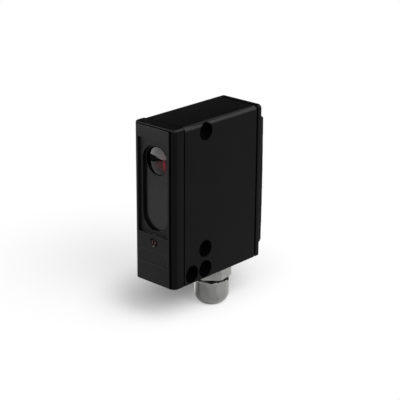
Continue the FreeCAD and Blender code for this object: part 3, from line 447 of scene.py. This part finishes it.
def cutRoot(work, centre):  # turns the gland's neck down to the root of its thread
    for vert in work.verts:
        away = Vector((vert.co.x - centre[0], vert.co.y - centre[1]))
        onCrest = abs(away.length - thread["crest"]) < thread["crestSlack"]
        if onCrest and vert.co.z < thread["top"] + thread["topSlack"]:
            away *= thread["root"] / away.length
            vert.co.x = centre[0] + away.x
            vert.co.y = centre[1] + away.y


coverField = {
    "halfWidth": 13.6 * mm,
    "round": 1.0 * mm,       # of the source's long edges
    "roundSlack": 0.02 * mm,
    "sideSlack": 0.01 * mm,
    "tight": 0.35,           # share of the round that is left
    "crown": 49.2 * mm,      # farthest back, at mid height
    "crownBend": 1683.8 * mm,
    "roundEnd": 36.4 * mm,   # height at which the rounding of the ends begins
}


def tightenField(work):  # sharper long edges on the rear cover's field, as the photo's outline has them
    field = coverField
    for vert in work.verts:
        side, level, height = vert.co
        inset = field["halfWidth"] - abs(side)
        roof = field["crown"] - field["crownBend"] + math.sqrt(field["crownBend"] ** 2 - height ** 2)
        under = roof - level
        within = max(inset, under) < field["round"] + field["roundSlack"] and inset > -field["sideSlack"]
        if within and abs(height) < field["roundEnd"]:
            vert.co.x = math.copysign(field["halfWidth"] - inset * field["tight"], side)
            vert.co.y = roof - under * field["tight"]


def softCopy(nodeName, width):  # the node's own shape with its sharp edges broken
    work = bmesh.new()
    work.from_mesh(nodes[nodeName].data)
    bmesh.ops.remove_doubles(work, verts=work.verts, dist=softEdge["mergeWithin"])
    if nodeName == "gland_body":
        cutRoot(work, thread["centre"])
    if nodeName == "rear_cover":
        tightenField(work)
    for vert in work.verts:
        vert.co.y = min(vert.co.y, cadHigh[1] - softEdge["crownTrim"])
    flat = math.radians(softEdge["flatAngle"])
    bmesh.ops.dissolve_limit(work, angle_limit=flat, verts=work.verts, edges=work.edges)
    crease = math.radians(softEdge["creases"].get(nodeName, softEdge["creaseAngle"]))
    for face in work.faces:
        face.smooth = True
    for edge in work.edges:
        edge.smooth = edge.is_manifold and edge.calc_face_angle() < crease
    mesh = bpy.data.meshes.new(f"{nodeName}_soft")
    work.to_mesh(mesh)
    work.free()
    item = addPiece(f"{nodeName}_soft", mesh, slotOf[nodeName], replaces=(nodeName,))
    bevel = item.modifiers.new("brokenEdges", "BEVEL")
    # painted highlight: rounded faces along the top take the lighter edge copy, as do all the front plate's
    # broken edges
    if slotOf[nodeName] in highlightFinishes and nodeName != "rear_cover":
        mesh.materials.append(highlightFinishes[slotOf[nodeName]])
        bevel.material = 1 if nodeName == "front_plate" else 0
        for face in mesh.polygons:
            face.material_index = 1 if isTopRound(face) else 0
    bevel.width = width * mm
    bevel.segments = softEdge["segments"]
    bevel.limit_method = "ANGLE"
    bevel.angle_limit = crease
    bevel.harden_normals = True
    bevel.use_clamp_overlap = nodeName == "rear_cover"


for nodeName, width in softEdge["widths"].items():
    softCopy(nodeName, width)
print("edges broken on", len(softEdge["widths"]), "pieces")


class Grower:  # a geometry tree with named inputs, whose result becomes a plain mesh
    def __init__(self, name):
        self.tree = bpy.data.node_groups.new(name, "GeometryNodeTree")
        self.tree.interface.new_socket("Geometry", in_out="OUTPUT", socket_type="NodeSocketGeometry")
        self.entry = self.tree.nodes.new("NodeGroupInput")
        self.given = {}

    def size(self, name, value, kind="NodeSocketFloat"):
        socket = self.tree.interface.new_socket(name, in_out="INPUT", socket_type=kind)
        self.given[socket.identifier] = value
        return self.entry.outputs[name]

    def node(self, kind, settings=None, inputs=None, output=0):
        item = self.tree.nodes.new(kind)
        for name, setting in (settings or {}).items():
            setattr(item, name, setting)
        for name, given in (inputs or {}).items():
            if isinstance(given, bpy.types.NodeSocket):
                self.tree.links.new(given, item.inputs[name])
            else:
                item.inputs[name].default_value = given
        return item.outputs[output]

    def grow(self, name, shape, slot):
        real = self.node("GeometryNodeRealizeInstances", None, {"Geometry": shape})
        painted = self.node("GeometryNodeSetMaterial", None, {"Geometry": real, "Material": finishes[slot]})
        output = self.tree.nodes.new("NodeGroupOutput")
        self.tree.links.new(painted, output.inputs["Geometry"])
        seed = bpy.data.objects.new(f"{name}_seed", bpy.data.meshes.new(f"{name}_seed"))
        bpy.context.scene.collection.objects.link(seed)
        grower = seed.modifiers.new("grower", "NODES")
        grower.node_group = self.tree
        for identifier, value in self.given.items():
            grower[identifier] = value
        depsgraph = bpy.context.evaluated_depsgraph_get()
        mesh = bpy.data.meshes.new_from_object(seed.evaluated_get(depsgraph), depsgraph=depsgraph)
        mesh.name = name
        bpy.data.objects.remove(seed)
        return mesh


def addThread():  # the helical crest on the gland's neck
    grower = Grower("threadCrest")
    ridge = (thread["crest"] - thread["root"]) * thread["ridge"]
    depth = grower.size("Depth", ridge)
    middle = grower.size("Middle", thread["crest"] - ridge)
    length = grower.size("Length", thread["pitch"] * thread["turns"])
    turns = grower.size("Turns", thread["turns"])
    steps = grower.size("Steps", round(thread["stepsPerTurn"] * thread["turns"]), "NodeSocketInt")
    reach = {"Start Radius": middle, "End Radius": middle, "Height": length}
    helix = grower.node("GeometryNodeCurveSpiral", None, {"Resolution": steps, "Rotations": turns, **reach})
    upright = grower.node("GeometryNodeSetCurveNormal", {"mode": "Z_UP"}, {"Curve": helix})
    square = {"Resolution": 4, "Radius": depth}
    profile = grower.node("GeometryNodeCurvePrimitiveCircle", {"mode": "RADIUS"}, square)
    swept = {"Curve": upright, "Profile Curve": profile, "Fill Caps": True}
    crest = grower.node("GeometryNodeCurveToMesh", None, swept)
    foot = (*thread["centre"], thread["top"] - thread["pitch"] * (thread["turns"] + thread["runOut"]))
    placed = grower.node("GeometryNodeTransform", None, {"Geometry": crest, "Translation": foot})
    addPiece("gland_thread", grower.grow("gland_thread", placed, "nickel"), "nickel")


addThread()


legs = {
    "node": "control_chip",
    "pitch": 0.8 * mm,
    "width": 0.3 * mm,
    "thick": 0.15 * mm,
    "reach": 0.9 * mm,       # out from the chip's side
    "drop": 0.9,             # share of the chip's height that a leg spans
}


def addLegs():  # two rows of bent legs along a chip that lies on its board
    low, high = (Vector(corner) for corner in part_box(legs["node"]))
    count = int((high.z - low.z - legs["pitch"]) / legs["pitch"]) + 1
    span = (high.y - low.y) * legs["drop"]
    grower = Grower("chipLegs")
    pitch = grower.size("Pitch", legs["pitch"])
    number = grower.size("Legs", count, "NodeSocketInt")
    width = grower.size("Width", legs["width"])
    thick = grower.size("Thick", legs["thick"])
    reach = grower.size("Reach", legs["reach"])
    drop = grower.size("Drop", span)
    both = grower.tree.nodes.new("GeometryNodeJoinGeometry")
    for side, edge in ((-1, low.x), (1, high.x)):
        out = legs["reach"] * side
        arm = grower.node("ShaderNodeCombineXYZ", None, {"X": reach, "Y": thick, "Z": width})
        shin = grower.node("ShaderNodeCombineXYZ", None, {"X": thick, "Y": drop, "Z": width})
        armBox = grower.node("GeometryNodeMeshCube", None, {"Size": arm})
        shinBox = grower.node("GeometryNodeMeshCube", None, {"Size": shin})
        lowered = {"Geometry": shinBox, "Translation": (out / 2, span / 2, 0)}
        leg = grower.tree.nodes.new("GeometryNodeJoinGeometry")
        for piece in (armBox, grower.node("GeometryNodeTransform", None, lowered)):
            grower.tree.links.new(piece, leg.inputs[0])
        step = grower.node("ShaderNodeCombineXYZ", None, {"Z": pitch})
        first = (edge + out / 2, high.y - span, (low.z + high.z) / 2 - (count - 1) * legs["pitch"] / 2)
        line = {"Count": number, "Start Location": first, "Offset": step}
        row = grower.node("GeometryNodeMeshLine", None, line)
        placed = {"Points": row, "Instance": leg.outputs[0]}
        grower.tree.links.new(grower.node("GeometryNodeInstanceOnPoints", None, placed), both.inputs[0])
    addPiece("chip_legs", grower.grow("chip_legs", both.outputs[0], "can_metal"), "can_metal")


addLegs()
print("thread and chip legs grown")


def turnedMesh(name, profile, centre, steps):  # profile of (y, radius) turned about an axis along y
    work = bmesh.new()
    rings = []
    for y, radius in profile:
        ring = []
        for step in range(steps if radius > 0 else 1):
            turn = 2 * math.pi * step / steps
            spot = (centre[0] + radius * math.cos(turn), y, centre[1] + radius * math.sin(turn))
            ring.append(work.verts.new(spot))
        rings.append(ring)
    for near, far in zip(rings, rings[1:]):
        for step in range(steps):
            corners = [ring[step % len(ring)] for ring in (near, far)]
            corners += [ring[(step + 1) % len(ring)] for ring in (far, near)]
            work.faces.new(list(dict.fromkeys(corners)))
    bmesh.ops.recalc_face_normals(work, faces=work.faces)
    for face in work.faces:
        face.smooth = True
    for edge in work.edges:
        edge.smooth = edge.calc_face_angle() < math.radians(softEdge["creaseAngle"])
    mesh = bpy.data.meshes.new(name)
    work.to_mesh(mesh)
    work.free()
    return mesh


lens = {
    "curve": 24.0 * mm,
    "edgeBreak": 0.15 * mm,
    "rings": 24,
    "steps": 96,             # round the axis
}


def addLens(nodeName):  # plano-convex glass with a ground, broken rim
    low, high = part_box(nodeName)
    centre = ((low[0] + high[0]) / 2, (low[2] + high[2]) / 2)
    radius = (high[0] - low[0]) / 2
    profile = []
    for step in range(lens["rings"] + 1):
        out = (radius - lens["edgeBreak"]) * step / lens["rings"]
        profile.append((low[1] + lens["curve"] - math.sqrt(lens["curve"] ** 2 - out ** 2), out))
    profile.append((profile[-1][0] + lens["edgeBreak"], radius))
    profile.append((high[1] - lens["edgeBreak"], radius))
    profile.append((high[1], radius - lens["edgeBreak"]))
    profile.append((high[1], 0))
    mesh = turnedMesh(f"{nodeName}_ground", profile, centre, lens["steps"])
    addPiece(f"{nodeName}_ground", mesh, "lens_glass", replaces=(nodeName,))


addLens("sender_lens")
addLens("receiver_lens")
print("lenses ground")

photoFrame = {
    "focal": 1347.354,       # in pixels of the 400 pixel frame
    "pixels": 400,
    "sensor": 36.0,
    "azimuth": 42.564,
    "elevation": 20.131,
    "roll": 0.311,
    "distance": 745.181 * mm,
    "target": Vector((0, 10.8, 0)) * mm,
    "aside": 0.607 * mm,     # how far the aim point lies right of and above the target
    "above": -5.504 * mm,
}


def addCamera():
    view = photoFrame
    turn = math.radians(view["azimuth"])
    lift = math.radians(view["elevation"])
    back = Vector((math.sin(turn) * math.cos(lift), -math.cos(turn) * math.cos(lift), math.sin(lift)))
    right = Vector((math.cos(turn), math.sin(turn), 0))
    up = back.cross(right)
    aim = view["target"] + right * view["aside"] + up * view["above"]
    camera = bpy.data.objects.new("photoCamera", bpy.data.cameras.new("photoCamera"))
    bpy.context.scene.collection.objects.link(camera)
    basis = Matrix((right, up, back)).transposed()
    roll = Matrix.Rotation(math.radians(view["roll"]), 3, back)
    camera.matrix_world = Matrix.Translation(aim + back * view["distance"]) @ (roll @ basis).to_4x4()
    camera.data.sensor_width = view["sensor"]
    camera.data.lens = view["focal"] / view["pixels"] * view["sensor"]
    bpy.context.scene.camera = camera


addCamera()
print("camera set")

studio = {
    "floorReach": 4.0,
    "floorWhite": 0.9,
    "shadeAt": (-0.026, 0.030),      # centre of the painted shadow, left of the gland: here the matt floor with its real shadow shows instead of plain white
    "shadeLong": 0.6,                # how the shaded patch stretches front to back
    "shadeFade": (0.0, 0.051),       # metres from there over which the floor turns plain white
    "faintShadowAt": (-0.080, 0.030),      # a faint wide painted shadow left of it
    "faintShadowFade": (0.0, 0.115),
    "faintShadowPart": 0.3,                # how strongly it shows
    "mirrorShadeAt": (0.010, -0.025),     # a painted dark patch in front of the gland that only gloss sees: there reflections show the darker matt floor instead of plain white
    "mirrorShadeFade": (0.035, 0.065),
    "worldLevel": 0.8,
    "worldFill": 0.42,               # the part of it that lights matt faces
    "wallFade": (0.0, 0.2),          # height of the white surround, as the sine of its elevation
    "wallTop": 0.04,                 # what shines on gloss from above it
    "lamps": {                       # place, width, height, power, and whether only gloss sees it
        "keyLamp": ((0.50, -0.12, 0.62), 0.45, 0.45, 5.2, False),
        "edgeLamp": ((0.24, 0.48, 0.42), 0.3, 0.3, 2.2, True),
        "lowLamp": ((-0.30, -0.27, 0.022), 0.62, 0.17, 1.3, True),
        "rimLamp": ((-0.44, -0.24, 0.48), 0.16, 0.16, 1.0, True),
    },
    "cardGrey": 0.15,
    "cardLine": [                    # top edge of the dark card
        (-0.250, -0.020, -0.010), (-0.243, -0.066, -0.010), (-0.215, -0.210, -0.012),
        (-0.143, -0.345, -0.050), (-0.120, -0.400, -0.060),
    ],
}


def farFrom(paint, centre, long=1.0):  # distance on the floor, with its long way front to back
    across = paint.axis("X") - centre[0]
    along = (paint.axis("Y") - centre[1]) * long
    return (across * across + along * along).math("SQRT")


def floorLevel():  # the gland's nut stands on the floor
    low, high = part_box("gland_nut")
    return low[2]


def addFloor():
    reach = studio["floorReach"]
    mesh = bpy.data.meshes.new("floor")
    signs = ((-1, -1), (1, -1), (1, 1), (-1, 1))
    corners = [(across * reach, along * reach, floorLevel()) for across, along in signs]
    mesh.from_pydata(corners, [], [(0, 1, 2, 3)])
    paint = Paint("floorWhite")
    matt = paint.node("ShaderNodeBsdfDiffuse", None, {"Color": shade(studio["floorWhite"])})
    plain = paint.node("ShaderNodeEmission", None, {"Color": shade(1.0), "Strength": 1.0})
    # painted shadow: near the shaded patch, and faintly in the wide patch left of it, camera rays see the
    # matt floor with its real shadow; elsewhere plain white emission
    shown = farFrom(paint, studio["shadeAt"], studio["shadeLong"]).smooth(*studio["shadeFade"])
    faintShade = farFrom(paint, studio["faintShadowAt"]).smooth(*studio["faintShadowFade"])
    part = studio["faintShadowPart"]
    shown = shown * (faintShade * part + (1 - part))
    # painted shade in reflections: in front of the gland gloss sees the matt floor instead of plain white
    mirrored = farFrom(paint, studio["mirrorShadeAt"]).smooth(*studio["mirrorShadeFade"])
    white = shown * paint.rays("Camera") + mirrored * paint.rays("Glossy", "Transmission")
    both = paint.node("ShaderNodeMixShader", None, {0: white, 1: matt, 2: plain})
    mesh.materials.append(paint.show(both))
    floor = bpy.data.objects.new("floor", mesh)
    bpy.context.scene.collection.objects.link(floor)


def addWorld():
    world = bpy.data.worlds.new("studioWhite")
    bpy.context.scene.world = world
    paint = Paint("studioWhite", world)
    camera = paint.rays("Camera")
    mirrored = paint.rays("Glossy", "Transmission")
    surround = 1 - paint.axis("Z").smooth(*studio["wallFade"]) * (1 - studio["wallTop"])
    light = mirrored * surround + (1 - mirrored) * studio["worldFill"]
    level = camera + (1 - camera) * light * studio["worldLevel"]
    backdrop = paint.node("ShaderNodeBackground", None, {"Color": shade(1.0), "Strength": level})
    paint.show(backdrop, "ShaderNodeOutputWorld")


def addCard():  # a dark card that only gloss sees, as it shows in the lens
    line = studio["cardLine"]
    spots = [(x, y, floorLevel()) for x, y, top in line] + line
    count = len(line)
    faces = [(step, step + 1, count + step + 1, count + step) for step in range(count - 1)]
    mesh = bpy.data.meshes.new("blackCard")
    mesh.from_pydata(spots, [], faces)
    paint = Paint("cardBlack")
    matt = paint.node("ShaderNodeBsdfDiffuse", None, {"Color": shade(studio["cardGrey"])})
    mesh.materials.append(paint.show(matt))
    card = bpy.data.objects.new("blackCard", mesh)
    bpy.context.scene.collection.objects.link(card)
    card.visible_camera = False
    card.visible_diffuse = False
    card.visible_shadow = False


def addLamp(name, spot, width, height, power, glossOnly):
    lamp = bpy.data.objects.new(name, bpy.data.lights.new(name, "AREA"))
    lamp.data.shape = "RECTANGLE"
    lamp.data.size = width
    lamp.data.size_y = height
    lamp.data.energy = power
    lamp.location = spot
    lamp.rotation_euler = (-Vector(spot)).to_track_quat("-Z", "Y").to_euler()
    lamp.visible_camera = False
    lamp.visible_diffuse = not glossOnly
    bpy.context.scene.collection.objects.link(lamp)


addFloor()
addCard()
addWorld()
for lampName, settings in studio["lamps"].items():
    addLamp(lampName, *settings)
bpy.context.scene.view_settings.view_transform = "Standard"
print("stage and lamps set")
